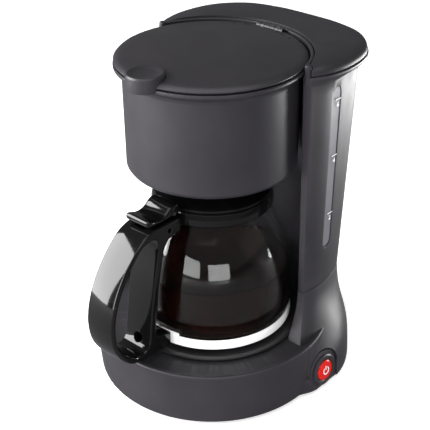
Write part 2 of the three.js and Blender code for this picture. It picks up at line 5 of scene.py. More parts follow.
import bmesh
import bpy
import numpy as np
from mathutils import Matrix, Vector


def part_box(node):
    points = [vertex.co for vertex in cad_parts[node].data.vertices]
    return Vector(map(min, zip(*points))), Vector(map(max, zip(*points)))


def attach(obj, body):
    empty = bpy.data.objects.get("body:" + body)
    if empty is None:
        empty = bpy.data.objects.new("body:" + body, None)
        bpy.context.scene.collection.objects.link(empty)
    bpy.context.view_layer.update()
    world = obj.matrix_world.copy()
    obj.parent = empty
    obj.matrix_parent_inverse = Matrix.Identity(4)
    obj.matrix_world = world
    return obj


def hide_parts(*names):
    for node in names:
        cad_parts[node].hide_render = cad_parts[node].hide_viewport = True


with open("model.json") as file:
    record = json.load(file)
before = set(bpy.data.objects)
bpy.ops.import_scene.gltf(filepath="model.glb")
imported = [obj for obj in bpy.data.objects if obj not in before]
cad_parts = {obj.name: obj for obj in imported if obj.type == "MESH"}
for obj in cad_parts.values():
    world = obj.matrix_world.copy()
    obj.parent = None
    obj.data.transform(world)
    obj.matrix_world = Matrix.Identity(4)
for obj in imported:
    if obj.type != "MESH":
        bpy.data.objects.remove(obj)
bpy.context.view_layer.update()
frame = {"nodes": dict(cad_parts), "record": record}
NODES = frame["nodes"]


def mm(node):
    """Lowest and highest corner of a CAD node, in millimetres."""
    lo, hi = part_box(node)
    return [1000 * v for v in lo], [1000 * v for v in hi]


# ---- driving dimensions, in millimetres about the brew axis -------------------------------------
AXIS_Y = sum(corner[1] for corner in mm("warming_plate")) / 2    # brew axis in the row frame
Z_SEAM, Z_WELL = 78.0, 42.5
Z_RIM = 47.5
R_DRUM, DRUM_Y = 95.2, -2.0
Z_FLANGE, R_CONCAVE, WALL = 262.4, 72.2, 2.4
R_HEAD, R_LIP = 65.5, 71.5
Z_HEAD, Z_LIP = (corner[2] for corner in mm("brew_head"))
R_LID, Z_LID = 71.0, mm("front_lid")[0][2]
HINGE_Y, HINGE_Z, R_KNUCKLE = 68.2, 269.6, 2.3
TAB_Y, R_TAB = -66.5, 14.0
RISER_Z = 259.4
R_BAND = 62.5
HANDLE_W = 27.0
PANEL_TILT = math.radians(6)
SWITCH = Vector((97.2, 23.5, 16.5))
POST_ANGLE, R_POST_AT = math.radians(17.5), 75.0
FINE, FINEST = 160, 224                       # facets round a turned piece, and round the largest
WINDOW_Y, WINDOW_Z, R_WINDOW = 50, (112, 248), 5.3          # level window: middle, ends, end radius
LEVEL_MARKS = ((142, "2"), (192, "4"), (238, "6"))         # height and number


# ---- outlines and meshes ---------------------------------------------------------------------------
def catmull(points, count):
    """Evenly spaced points along a centripetal Catmull-Rom curve."""
    p = np.array(points, float)
    p = np.vstack([2 * p[0] - p[1], p, 2 * p[-1] - p[-2]])
    curve = []
    for a, b, c, d in zip(p, p[1:], p[2:], p[3:]):
        t = np.cumsum([0] + [max(np.linalg.norm(v - u), 1e-6) ** 0.5 for u, v in ((a, b), (b, c), (c, d))])
        for x in np.linspace(t[1], t[2], 24, endpoint=False):
            q = [((t[i + 1] - x) * u + (x - t[i]) * v) / (t[i + 1] - t[i])
                 for i, (u, v) in enumerate(((a, b), (b, c), (c, d)))]
            r = [((t[i + 2] - x) * q[i] + (x - t[i]) * q[i + 1]) / (t[i + 2] - t[i]) for i in (0, 1)]
            curve.append(((t[2] - x) * r[0] + (x - t[1]) * r[1]) / (t[2] - t[1]))
    curve = np.array(curve + [p[-2]])
    along = np.concatenate([[0], np.cumsum(np.linalg.norm(np.diff(curve, axis=0), axis=1))])
    at = np.linspace(0, along[-1], count)
    return np.column_stack([np.interp(at, along, curve[:, i]) for i in range(curve.shape[1])])


def rounded(points, radius, closed=True, steps=4):
    """A polyline with its corners rounded."""
    pts, out = [np.array(p, float) for p in points], []
    for i, p in enumerate(pts):
        if not closed and i in (0, len(pts) - 1):
            out.append(p)
            continue
        a, b = pts[i - 1] - p, pts[(i + 1) % len(pts)] - p
        la, lb = np.linalg.norm(a), np.linalg.norm(b)
        turn = math.pi - math.acos(max(-1, min(1, a @ b / (la * lb))))
        if turn < math.radians(4):
            out.append(p)
            continue
        cut = min(radius * math.tan(turn / 2), 0.45 * la, 0.45 * lb)
        start, end = p + a / la * cut, p + b / lb * cut
        out += [(1 - t) ** 2 * start + 2 * t * (1 - t) * p + t * t * end
                for t in np.linspace(0, 1, steps + 1)]
    return out


def make(name, verts, faces, matrix=None):
    data = bpy.data.meshes.new(name)
    data.from_pydata([tuple(v) for v in verts], [], faces)
    obj = bpy.data.objects.new(name, data)
    bpy.context.scene.collection.objects.link(obj)
    if matrix is not None:
        data.transform(matrix)
    edit = bmesh.new()
    edit.from_mesh(data)
    bmesh.ops.remove_doubles(edit, verts=edit.verts, dist=1e-4)
    bmesh.ops.recalc_face_normals(edit, faces=edit.faces)
    edit.to_mesh(data)
    edit.free()
    return obj


def turned(name, profile, segments=FINE, matrix=None):
    """Turned solid about +Z. The profile runs from axis to axis or closes on itself."""
    on_axis = profile[0][0] == 0
    count = len(profile)
    verts = [(r * math.cos(a), r * math.sin(a), z) for a in np.arange(segments) * 2 * math.pi / segments
             for r, z in profile]
    faces = []
    for i in range(segments):
        here, there = i * count, (i + 1) % segments * count
        for k in range(count - 1 if on_axis else count):
            n = (k + 1) % count
            ring = [here + k, there + k, there + n, here + n]
            if profile[k][0] == 0:
                ring.remove(there + k)
            if profile[n][0] == 0:
                ring.remove(there + n)
            if len(ring) > 2:
                faces.append(ring)
    return make(name, verts, faces, matrix)


def lofted(name, sections):
    """Closed solid through equal-sized closed sections."""
    count = len(sections[0])
    verts = [p for s in sections for p in s]
    faces = [[j * count + i, j * count + (i + 1) % count,
              (j + 1) * count + (i + 1) % count, (j + 1) * count + i]
             for j in range(len(sections) - 1) for i in range(count)]
    faces += [list(range(count)), list(range((len(sections) - 1) * count, len(sections) * count))]
    return make(name, verts, faces)


def block(x0, x1, y0, y1, z0, z1, matrix=None):
    return prism([(x0, y0), (x1, y0), (x1, y1), (x0, y1)], z0, z1, matrix)


def rod(radius, z0, z1, matrix=None, segments=FINE):
    return turned("cutter", [(0, z0), (radius, z0), (radius, z1), (0, z1)], segments, matrix)


def prism(points, z0, z1, matrix=None):
    obj = lofted("cutter", [[(x, y, z) for x, y in points] for z in (z0, z1)])
    if matrix is not None:
        obj.data.transform(matrix)
    return obj


def closed(obj):
    """Whether each edge of a mesh has two faces."""
    uses = {}
    for polygon in obj.data.polygons:
        for edge in polygon.edge_keys:
            uses[edge] = uses.get(edge, 0) + 1
    return all(count == 2 for count in uses.values())


def combine(obj, others, operation):
    """Joins or cuts a solid with others, which are used up."""
    for other in others:
        modifier = obj.modifiers.new("solid", "BOOLEAN")
        modifier.operation, modifier.object = operation, other
        modifier.solver = "MANIFOLD" if closed(obj) and closed(other) else "EXACT"
        dg = bpy.context.evaluated_depsgraph_get()
        made = bpy.data.meshes.new_from_object(obj.evaluated_get(dg))
        obj.modifiers.clear()
        obj.data = made
        bpy.data.objects.remove(other)
    return obj


def cut(obj, *others):
    return combine(obj, others, "DIFFERENCE")


def join(obj, *others):
    return combine(obj, others, "UNION")


def shift(x, y, z):
    return Matrix.Translation((x, y, z))


def post_place(side):
    """Foot of a shoulder post, right (1) or left (-1)."""
    return shift(side * R_POST_AT * math.cos(POST_ANGLE), R_POST_AT * math.sin(POST_ANGLE), 0)


def riser_bore():
    """Cutter for the hot riser's way through the column and the head."""
    return rod(3.8, 0, 30, shift(0, 52, RISER_Z) @ Matrix.Rotation(-math.pi / 2, 4, "X"), 48)


def across_x(y, z, x=0.0):
    """Frame whose Z runs along X, for pins and bores across the machine."""
    return shift(x, y, z) @ Matrix.Rotation(math.pi / 2, 4, "Y")


def flat_piece(name, outline, width, bevel, holes=(), bulge=4):
    """A plate drawn as [reach, height] in the handle's plane, with rounded edges, width along X."""
    curve = bpy.data.curves.new(name, "CURVE")
    curve.dimensions, curve.fill_mode = "2D", "BOTH"
    for points in (outline, *holes):
        spline = curve.splines.new("POLY")
        spline.points.add(len(points) - 1)
        for point, (r, z) in zip(spline.points, points):
            point.co = (r, z, 0, 1)
        spline.use_cyclic_u = True
    curve.extrude, curve.bevel_depth, curve.bevel_resolution = width / 2 - bevel, bevel, bulge
    curve.offset = -bevel
    drawn = bpy.data.objects.new(name + "_drawn", curve)
    bpy.context.scene.collection.objects.link(drawn)
    data = bpy.data.meshes.new_from_object(drawn.evaluated_get(bpy.context.evaluated_depsgraph_get()))
    bpy.data.objects.remove(drawn)
    obj = bpy.data.objects.new(name, data)
    bpy.context.scene.collection.objects.link(obj)
    data.transform(Matrix(((0, 0, -1, 0), (-1, 0, 0, 0), (0, 1, 0, 0), (0, 0, 0, 1))))
    edit = bmesh.new()
    edit.from_mesh(data)
    bmesh.ops.remove_doubles(edit, verts=edit.verts, dist=1e-3)
    bmesh.ops.recalc_face_normals(edit, faces=edit.faces)
    edit.to_mesh(data)
    edit.free()
    return obj


def soften(obj, width, angle=40, segments=2):
    """Rounds a solid's sharp edges, for good."""
    edit = bmesh.new()
    edit.from_mesh(obj.data)
    bmesh.ops.remove_doubles(edit, verts=edit.verts, dist=0.01)
    edges = [e for e in edit.edges if len(e.link_faces) == 2 and e.calc_face_angle(0) > math.radians(angle)]
    bmesh.ops.bevel(edit, geom=edges, offset=width, offset_type="WIDTH", segments=segments, profile=0.5,
                    affect="EDGES", clamp_overlap=True)
    edit.to_mesh(obj.data)
    edit.free()
    return obj


def keep(obj, body, material, replaced=(), angle=34):
    """Scales a finished solid to metres in the row frame and hands it to its body.

    The replaced CAD nodes are hidden; a piece that has no CAD node of its own replaces none.
    """
    obj.data.transform(Matrix.Scale(0.001, 4) @ shift(0, AXIS_Y, 0))
    obj.data.shade_smooth()
    obj.data.set_sharp_from_angle(angle=math.radians(angle))
    obj.data.materials.clear()
    obj.data.materials.append(material)
    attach(obj, body)
    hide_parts(*replaced)
    return obj


# ---- materials -------------------------------------------------------------------------------------
def shader(name, **values):
    material = bpy.data.materials.new(name)
    material.use_nodes = True
    tree = material.node_tree
    surface = tree.nodes["Principled BSDF"]
    for key, value in values.items():
        surface.inputs[key.replace("_", " ")].default_value = value
    return material, tree, surface


def noise(tree, scale, detail=3.0, stretch=None):
    where = tree.nodes.new("ShaderNodeTexCoord").outputs["Object"]
    if stretch:
        mapping = tree.nodes.new("ShaderNodeMapping")
        mapping.inputs["Scale"].default_value = stretch
        tree.links.new(where, mapping.inputs["Vector"])
        where = mapping.outputs["Vector"]
    texture = tree.nodes.new("ShaderNodeTexNoise")
    texture.inputs["Scale"].default_value = scale
    texture.inputs["Detail"].default_value = detail
    tree.links.new(where, texture.inputs["Vector"])
    return texture.outputs["Fac"]


def ramp(tree, fac, low, high, start=0.3, end=0.7):
    """Maps a factor to a range of values, or of colours."""
    node = tree.nodes.new("ShaderNodeValToRGB")
    for stop, place, value in zip(node.color_ramp.elements, (start, end), (low, high)):
        stop.position = place
        stop.color = (*value, 1) if isinstance(value, tuple) else (value, value, value, 1)
    tree.links.new(fac, node.inputs["Fac"])
    return node.outputs["Color"]


def bump(tree, surface, fac, strength, depth):
    node = tree.nodes.new("ShaderNodeBump")
    node.inputs["Strength"].default_value = strength
    node.inputs["Distance"].default_value = depth
    tree.links.new(fac, node.inputs["Height"])
    tree.links.new(node.outputs["Normal"], surface.inputs["Normal"])


def moulded(name, colour, rough, grain=0.25, spread=0.1, grain_scale=2600, **values):
    """Moulded plastic or rubber: a fine texture, uneven gloss, and edges worn a little lighter."""
    material, tree, surface = shader(name, **values)
    shade = ramp(tree, noise(tree, 35), tuple(0.88 * c for c in colour), tuple(1.1 * c for c in colour))
    worn = ramp(tree, tree.nodes.new("ShaderNodeNewGeometry").outputs["Pointiness"], 0.0, 0.35, 0.53, 0.62)
    mix = tree.nodes.new("ShaderNodeMix")
    mix.data_type = "RGBA"
    tree.links.new(worn, mix.inputs["Factor"])
    tree.links.new(shade, mix.inputs["A"])
    mix.inputs["B"].default_value = (*(min(1, 1.7 * c + 0.004) for c in colour), 1)
    tree.links.new(mix.outputs["Result"], surface.inputs["Base Color"])
    gloss = ramp(tree, noise(tree, 60, 5), rough - spread / 2, rough + spread / 2)
    tree.links.new(gloss, surface.inputs["Roughness"])
    bump(tree, surface, noise(tree, grain_scale, 2), grain, 0.00005)
    return material


def metal(name, colour, rough, stretch=(1, 1, 60), metallic=1.0):
    """Drawn or brushed metal, with fine lines across the stretched axis. A low metallic with a pale colour paints the
    metal's reflection into its base colour.
    """
    material, tree, surface = shader(name, Metallic=metallic)
    lines = noise(tree, 260, 4, stretch)
    tree.links.new(ramp(tree, lines, tuple(0.86 * c for c in colour), colour), surface.inputs["Base Color"])
    tree.links.new(ramp(tree, lines, rough - 0.05, rough + 0.08), surface.inputs["Roughness"])
    bump(tree, surface, lines, 0.06, 0.00003)
    return material


def clear(name, colour, rough, ior, smear=0.02):
    material, tree, surface = shader(name, Base_Color=(*colour, 1), IOR=ior, Transmission_Weight=1.0)
    tree.links.new(ramp(tree, noise(tree, 18, 4), rough, rough + smear), surface.inputs["Roughness"])
    bump(tree, surface, noise(tree, 24, 1), 0.04, 0.0002)
    return material


HOUSING = moulded("housing_plastic", (0.0225, 0.0208, 0.0245), 0.42, 0.22)
DARK = moulded("dark_plastic", (0.012, 0.012, 0.013), 0.45)
GLOSS = moulded("gloss_black", (0.003, 0.003, 0.0032), 0.08, 0.02, 0.05, 300,
                Coat_Weight=0.25, Coat_Roughness=0.05, Specular_IOR_Level=0.35)
RED = moulded("red_button", (0.55, 0.012, 0.010), 0.22, 0.05, 0.06)
WHITE = moulded("white_mark", (0.82, 0.80, 0.79), 0.45, 0.05)
RUBBER = moulded("foot_rubber", (0.018, 0.018, 0.018), 0.80, 0.4)
SILICONE = moulded("milky_silicone", (0.62, 0.60, 0.55), 0.50, 0.1)
COATED = moulded("plate_coating", (0.018, 0.018, 0.019), 0.36, 0.5, 0.1, 1500)
MESH = moulded("filter_weave", (0.50, 0.48, 0.40), 0.55, 0.8, 0.1, 900)
# steel with little metallic and a near-white colour: the white is a painted reflection of the lamps, in place of a
# mirror shine
PAINTED_SHEEN_STEEL = metal("steel_painted_sheen", (0.97, 0.97, 0.98), 0.46, (1, 1, 60), 0.15)
ZINC = metal("zinc_plate", (0.45, 0.46, 0.47), 0.34)
ALUMINIUM = metal("cast_aluminium", (0.58, 0.59, 0.60), 0.42, (1, 1, 1))
GLASS = clear("carafe_glass_clear", (0.97, 0.98, 0.98), 0.0, 1.40)
FROSTED = moulded("frosted_plastic", (0.115, 0.118, 0.13), 0.42, 0.1, 0.08)
COFFEE, COFFEE_TREE, COFFEE_SURFACE = shader("coffee_liquid", Roughness=0.05, IOR=1.34,
                                             Specular_IOR_Level=0.1)
COFFEE_TREE.links.new(ramp(COFFEE_TREE, noise(COFFEE_TREE, 30), (0.004, 0.0012, 0.0008), (0.009, 0.0024, 0.0012)),
                      COFFEE_SURFACE.inputs["Base Color"])
BY_SLOT = {"housing": HOUSING, "dark_plastic": DARK, "gloss_plastic": GLOSS, "coated_plate": COATED,
           "steel": PAINTED_SHEEN_STEEL, "zinc": ZINC, "aluminium": ALUMINIUM, "rubber": RUBBER, "silicone": SILICONE,
           "clear_plastic": FROSTED, "glass": GLASS, "red_plastic": RED, "filter_mesh": MESH}


# ---- plans of the rear body ------------------------------------------------------------------------
FOOT_PLAN = [(92.6, -3.5), (99, 10), (101, 32), (95, 57.5), (70, 92), (34, 111), (0, 115.5)]
SEAM_PLAN = [(72.4, 25.5), (74.6, 42), (72.5, 61), (64, 82.5), (46, 96), (24, 101), (0, 102)]
TOP_PLAN = [(75.6, 21), (78.6, 40), (77.2, 62), (70.5, 86.5), (51, 103.5), (27, 110), (0, 111)]
FLANGE_PLAN = [(75.8, 20.5), (82, 34), (84.8, 57), (77.5, 87.5), (57, 109.5), (30, 118), (0, 119.5)]


def between(a, b, t):
    return [(p[0] + (q[0] - p[0]) * t, p[1] + (q[1] - p[1]) * t) for p, q in zip(a, b)]


def plan(half, z, inset=0.0, count=121):
    """One level of the rear body: the curved outside, closed by a straight line across the front."""
    pts = catmull(half + [(-x, y) for x, y in half[-2::-1]], count)
    slope = np.gradient(pts, axis=0)
    slope /= np.linalg.norm(slope, axis=1)[:, None]
    pts = pts + inset * np.column_stack([-slope[:, 1], slope[:, 0]])
    return [(x, y, z) for x, y in pts]


def eased(pairs, z):
    """Smooth interpolation of (height, value) pairs."""
    heights = [p[0] for p in pairs]
    curve = catmull(pairs, 200)
    return float(np.interp(z, curve[:, 0], curve[:, 1])) if heights[0] <= z <= heights[-1] else pairs[-1][1]


FLARE = [(2.5, 0), (15, 0.04), (28, 0.12), (38, 0.29), (48, 0.53), (58, 0.76), (68, 0.92), (Z_SEAM, 1)]


def flare(inset=0.0, z0=2.5, z1=Z_SEAM, edge=1.0):
    levels = [(z, eased(FLARE, max(2.5, z)), inset) for z in np.linspace(z0, z1, 34)]
    if not inset:
        levels = [(z, t, edge * max(0, 1 - (z - z0) / edge) ** 2 + 0.5 * max(0, 1 - (z1 - z) / 0.5) ** 2)
                  for z, t, _ in levels[:1] + [(z0 + edge, eased(FLARE, z0 + edge), 0)] + levels[1:-1]
                  + [(z1 - 0.5, eased(FLARE, z1 - 0.5), 0)] + levels[-1:]]
    return lofted("flare", [plan(between(FOOT_PLAN, SEAM_PLAN, t), z, i) for z, t, i in levels])


PANEL = Matrix(((0, -math.sin(PANEL_TILT), math.cos(PANEL_TILT), SWITCH.x), (1, 0, 0, SWITCH.y),
                (0, math.cos(PANEL_TILT), math.sin(PANEL_TILT), SWITCH.z), (0, 0, 0, 1)))


def arch(grow=0.0):
    r = 16 + grow
    top = [(r * math.cos(a), 1.5 + r * math.sin(a)) for a in np.linspace(0, math.pi, 48)]
    return [(-r, -30), (r, -30), *top]


def column_at(z):
    return between(SEAM_PLAN, TOP_PLAN, (z - Z_SEAM) / (256 - Z_SEAM))


# ---- base and column -------------------------------------------------------------------------------
def lower_housing():
    drum_profile = [(0, 2.5), (92.6, 2.5), (94, 4.5), (R_DRUM, 20), (R_DRUM, Z_RIM), (R_DRUM - 4.2, Z_RIM),
                    (R_DRUM - 4.2, Z_WELL), (0, Z_WELL)]
    drum = turned("lower_housing_shell", rounded(drum_profile, 2.1, closed=False, steps=6), FINEST,
                  shift(0, DRUM_Y, 0))
    rear = cut(flare(z0=2.52), rod(R_CONCAVE, Z_WELL - 0.05, 100))
    # the rear body stands clear of the well behind the warming plate
    body = join(drum, rear)
    hollow = turned("cutter", [(0, 0), (90.4, 0), (92.6, Z_WELL - 2.6), (0, Z_WELL - 2.6)], 96,
                    shift(0, DRUM_Y, 0))
    rear_hollow = cut(flare(WALL, 0.0, Z_SEAM - 2.6), rod(R_CONCAVE + WALL, Z_WELL - 2.6, 100))
    body = cut(body, hollow, rear_hollow, rod(65.4, Z_WELL - 4, Z_WELL + 1))
    backing = combine(prism(arch(2.4), -2.6, 17.4, PANEL), [flare()], "INTERSECT")
    body = join(body, backing)
    groove = prism(arch(0.9)[2:] + arch(-0.5)[:1:-1], -1.5, 20, PANEL)
    body = cut(body, prism(arch(), 0, 20, PANEL), groove, rod(12.6, -6, 6, PANEL, 96))
    return keep(soften(body, 0.5), "base", HOUSING, ["lower_housing"])


def tank_housing():
    levels = [(z, column_at(z), 0.0) for z in np.linspace(Z_SEAM + 0.8, 254, 24)]
    levels.insert(0, (Z_SEAM + 0.3, column_at(Z_SEAM), 0.5))
    for z, t in ((256.5, 0.35), (258.5, 0.8), (259.6, 0.95), (260.6, 1.0), (262.0, 1.0)):
        levels.append((z, between(column_at(256), FLANGE_PLAN, t), 0.0))
    levels.append((Z_FLANGE, FLANGE_PLAN, 0.4))
    shell = lofted("tank_housing_shell", [plan(half, z, inset) for z, half, inset in levels])
    inside = lofted("cutter", [plan(column_at(max(Z_SEAM, min(z, 258))), z, WALL)
                               for z in (70, 110, 160, 210, 256, 280)])
    inside = cut(inside, rod(R_CONCAVE + WALL, 0, 300))
    shell = cut(shell, rod(R_CONCAVE, 0, 300, segments=FINEST), inside)
    window = [(WINDOW_Y + R_WINDOW * math.cos(a), WINDOW_Z[0] + R_WINDOW + R_WINDOW * math.sin(a))
              for a in np.linspace(math.pi, 2 * math.pi, 24)]
    window += [(WINDOW_Y + R_WINDOW * math.cos(a), WINDOW_Z[1] - R_WINDOW + R_WINDOW * math.sin(a))
               for a in np.linspace(0, math.pi, 24)]
    turn_x = Matrix(((0, 0, 1, 0), (1, 0, 0, 0), (0, 1, 0, 0), (0, 0, 0, 1)))
    riser = riser_bore()
    shell = cut(shell, prism(window, 50, 110, turn_x), riser)
    keep(soften(shell, 0.6), "base", HOUSING, ["tank_housing"])
    rib = turned("divider_rib", rounded([(R_CONCAVE, 261), (R_CONCAVE + WALL, 261), (R_CONCAVE + WALL, 270.6),
                                         (R_CONCAVE, 270.6)], 0.9), FINEST)
    front = POST_ANGLE + 0.005
    rib = cut(rib, block(-200, 200, -200, R_POST_AT * math.sin(front), 200, 300))
    keep(rib, "base", HOUSING, ["tank_housing"])
    for side, name in ((1, "right"), (-1, "left")):
        outline = rounded([(0, 256), (2.6, 256), (2.6, 270.8), (0, 271.1)], 1.4, False)
        post = turned(f"shoulder_post_{name}", outline, 48, post_place(side))
        keep(post, "base", HOUSING, ["tank_housing"])


def level_window():
    """The frosted strip, its marks and their numbers."""
    node = NODES["level_window"]
    node.data.materials.clear()
    node.data.materials.append(FROSTED)
    low, high = mm("level_window")
    middle = (low[1] + high[1]) / 2 - AXIS_Y
    for height, number in LEVEL_MARKS:
        half = column_at(height)
        wall = plan(half, height)
        x = max(p[0] for p in wall if abs(p[1] - middle) < 3) + 0.12
        mark = block(x - 0.35, x, middle - 1.5, middle + 4.4, height - 0.35, height + 0.35)
        mark.name = f"level_mark_{number}"
        keep(mark, "base", WHITE)
        text = bpy.data.curves.new(f"level_number_{number}", "FONT")
        text.body, text.size, text.extrude = number, 0.0052, 0.00012
        text.align_x, text.align_y = "CENTER", "CENTER"
        label = bpy.data.objects.new(f"level_number_{number}", text)
        bpy.context.scene.collection.objects.link(label)
        place = (x / 1000, (middle + 1.2 + AXIS_Y) / 1000, (height - 4.2) / 1000)
        label.matrix_world = (Matrix.Translation(place)
                              @ Matrix(((0, 0, 1, 0), (1, 0, 0, 0), (0, 1, 0, 0), (0, 0, 0, 1))))
        text.materials.append(WHITE)
        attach(label, "base")


def rear_cover():
    edge = [(Z_FLANGE + 0.3, 1.5), (263.2, 0.9), (265.4, 1.0), (266.8, 1.5), (268.2, 2.8), (269.6, 6.0),
            (270.9, 13.0), (271.6, 21.0), (271.8, 26.0)]
    levels = catmull(edge, 30)
    cover = lofted("rear_cover_shell", [plan(FLANGE_PLAN, z, inset) for z, inset in levels])
    posts = [rod(3.2, 0, 300, post_place(side), 48) for side in (1, -1)]
    cover = cut(cover, rod(R_CONCAVE + WALL + 0.5, 0, 300, segments=FINEST), *posts,
                block(-200, 200, -90, 22.5, 0, 300))
    return keep(soften(cover, 0.9, 45, 3), "base", HOUSING, ["rear_cover"])


# ---- brew head and lid -----------------------------------------------------------------------------
def brew_head():
    profile = [(26, Z_HEAD), (61, Z_HEAD), (63.6, Z_HEAD + 0.8), (R_HEAD, Z_HEAD + 3.6), (R_HEAD, 256),
               (R_HEAD + 0.6, 258.5), (R_LIP - 2, 261.6), (R_LIP, 262.6), (R_LIP, Z_LIP), (67, Z_LIP), (63.1, 258),
               (63.1, 187), (61, 184.6), (26, 184.6)]
    head = turned("brew_head_shell", rounded(profile, 1.1), FINEST)
    neck = cut(block(-26, 26, 58, 75, 196, 255), rod(64, 190, 260))
    neck = combine(neck, [rod(R_CONCAVE - 0.3, 190, 260)], "INTERSECT")
    riser = riser_bore()
    return keep(cut(join(head, neck), riser), "base", HOUSING, ["brew_head"])


def front_lid():
    profile = [(0, 268.6), (60, 267.4), (66, 266.6), (66.6, Z_LID), (R_LID - 1.6, Z_LID), (R_LID, Z_LID + 1.3),
               (R_LID, 267.6), (R_LID - 1, 268.9), (R_LID - 3.4, 269.9), (55, 271.2), (30, 272.4), (0, 272.8)]
    top = catmull(profile[6:], 30)
    outline = rounded(profile[:6], 0.5, False) + [tuple(p) for p in top[:-1]] + [profile[-1]]
    lid = turned("front_lid_shell", outline, FINEST)
    slots = []
    for side in (1, -1):
        for degrees, half in ((13.5, 5.6), (25.5, 0.9)):
            a = math.radians(90 - side * degrees)
            at = shift(63.4 * math.cos(a), 63.4 * math.sin(a), 0) @ Matrix.Rotation(a - math.pi / 2, 4, "Z")
            slots.append(block(-half, half, -0.75, 0.75, 260, 280, at))
    lid = join(lid, rod(R_KNUCKLE, -12.6, 12.6, across_x(HINGE_Y, HINGE_Z), 48))
    notches = [block(s * 7 - 2.1, s * 7 + 2.1, HINGE_Y - 3.3, 80, 260, 280) for s in (1, -1)]
    bore = rod(1.5, -14, 14, across_x(HINGE_Y, HINGE_Z), 32)
    lid = cut(lid, *slots, *notches, bore, rod(R_TAB + 0.4, 260, 280, shift(0, TAB_Y, 0), 96))
    keep(lid, "lid", HOUSING, ["front_lid"])
    tab_profile = [(0, 268.9), (11.8, 268.9), (11.8, 262.8), (R_TAB, 262.8), (R_TAB, 272.8), (13.2, 274.2),
                   (12, 274.2), (8.6, 273), (0, 271.8)]
    tab = turned("thumb_tab_shell", rounded(tab_profile, 0.7, False), 96, shift(0, TAB_Y, 0))
    keep(cut(tab, rod(R_LIP + 0.3, 260, Z_LID)), "lid", HOUSING, ["thumb_tab"])


# ---- warming plate and switch ----------------------------------------------------------------------
def warming_plate():
    profile = [(0, 44.3), (62, 44.3), (62, 41), (63.6, 41), (63.6, 43.2), (71, 43.2), (71.4, 45.2), (70, 45.5),
               (67.5, 45.5), (66.8, 45.1), (0, 45.1)]
    keep(turned("warming_plate_disc", rounded(profile, 0.4, False)), "base", COATED,
         ["warming_plate"])


def switch():
    bezel = [(8.9, -3.2), (11.8, -3.2), (11.8, 0.3), (13.4, 0.3), (13.4, 1.1), (12.4, 2), (9.6, 1.5),
             (8.9, 0.9)]
    keep(turned("switch_ring", rounded(bezel, 0.5), 96, PANEL), "base", HOUSING, ["switch_bezel"])
    button = [(0, -4.6), (8.5, -4.6), (8.5, 1.7), (7.7, 2.5), (5, 2.8), (0, 2.86)]
    keep(turned("push_button", rounded(button, 0.6, False), 96, PANEL), "button", RED,
         ["power_button"])
    # power mark: an open ring and a stroke
    sweep = np.linspace(math.radians(90 + 38), math.radians(450 - 38), 40)
    ring = [(3.6 * math.cos(a), 3.6 * math.sin(a)) for a in sweep]
    ring += [(2.7 * math.cos(a), 2.7 * math.sin(a)) for a in sweep[::-1]]
    stroke = prism([(-0.45, 0.6), (0.45, 0.6), (0.45, 4.3), (-0.45, 4.3)], 2.4, 2.95, PANEL)
    mark = join(prism(ring, 2.4, 2.95, PANEL), stroke)
    mark.name = "power_mark"
    keep(mark, "button", WHITE)


# ---- carafe ----------------------------------------------------------------------------------------
GLASS_OUTER = [(54, 46.2), (58.6, 47.6), (61.2, 51), (61.9, 57), (63.6, 66), (63.6, 78), (61.4, 96), (56.6, 116),
               (50, 134), (43.5, 146), (42.6, 152), (43.4, 157.5)]
COFFEE_Z = 97.0


def carafe():
    outer = [tuple(p) for p in catmull(GLASS_OUTER, 64)]
    inner = [(r - 2.1, z) for r, z in outer if z > 52][::-1]
    profile = [(0, 46.2), *outer, *inner, (57.6, 50.2), (52.6, 48.4), (0, 48.4)]
    keep(turned("carafe_vessel", profile, 192), "carafe", GLASS, ["carafe_glass"], 50)
    side = [(r - 2.3, z) for r, z in outer if 52 < z < COFFEE_Z - 0.8]
    edge = side[-1][0]
    body = [(0, 48.7), (52.2, 48.7), (57.2, 50.6), *side, (edge - 0.2, COFFEE_Z + 0.4),
            (edge - 1.5, COFFEE_Z), (0, COFFEE_Z)]
    keep(turned("coffee_fill", body, 160), "carafe", COFFEE, (), 50)
    collar = [(44.6, 148.2), (46.6, 148.4), (48, 150.4), (47.8, 155), (46.6, 159), (44.8, 160.3), (43.9, 160.3),
              (43.9, 149.2)]
    keep(turned("carafe_collar_ring", rounded(collar, 0.6)), "carafe", GLOSS,
         ["carafe_collar"])
    lid = [(0, 170.2), (8, 169.9), (20, 168.7), (33, 166.4), (43, 163.8), (46.4, 162.6), (46.8, 161.6),
           (46.4, 160.7), (40.6, 160.7), (40.2, 153), (38.4, 153), (38.2, 162.6), (20, 166.4), (0, 168)]
    cover = turned("carafe_lid_shell", rounded(lid, 0.8, False))
    holes = [rod(1.5, 150, 180, shift(14 * math.cos(i * math.pi / 3), 14 * math.sin(i * math.pi / 3), 0), 24)
             for i in range(6)]
    keep(cut(cover, *holes), "carafe", GLOSS, ["carafe_lid"])
    # the band's near-white steel colour is a painted reflection of the lamps
    band = [(62.1, 48.8), (62.9, 48.8), (63.2, 50.4), (63.15, 52.4), (62.9, 54.4), (62.5, 56.2), (62.3, 56.8),
            (62.1, 56.8)]
    keep(turned("carafe_band", band, 192), "carafe", PAINTED_SHEEN_STEEL, ["steel_band"])


D_OUTER = [(77, 158.6), (86.5, 155.5), (99.5, 145), (111.5, 130), (120, 113.5), (124.2, 97), (124.2, 84), (121.6, 73),
           (115.5, 62.5), (107.5, 55), (99, 51.6), (89, 50.4)]
D_HOLE = [(80, 151), (88.5, 149), (98, 140.5), (108, 127), (115.8, 112), (119.8, 97), (119.8, 84.8), (117.6, 75.5),
          (112, 66.4), (104.6, 60), (97.6, 56.6), (91, 57.4), (87.6, 62), (85.4, 76), (80.4, 107), (74, 136),
          (72.8, 143.5), (74.6, 149)]


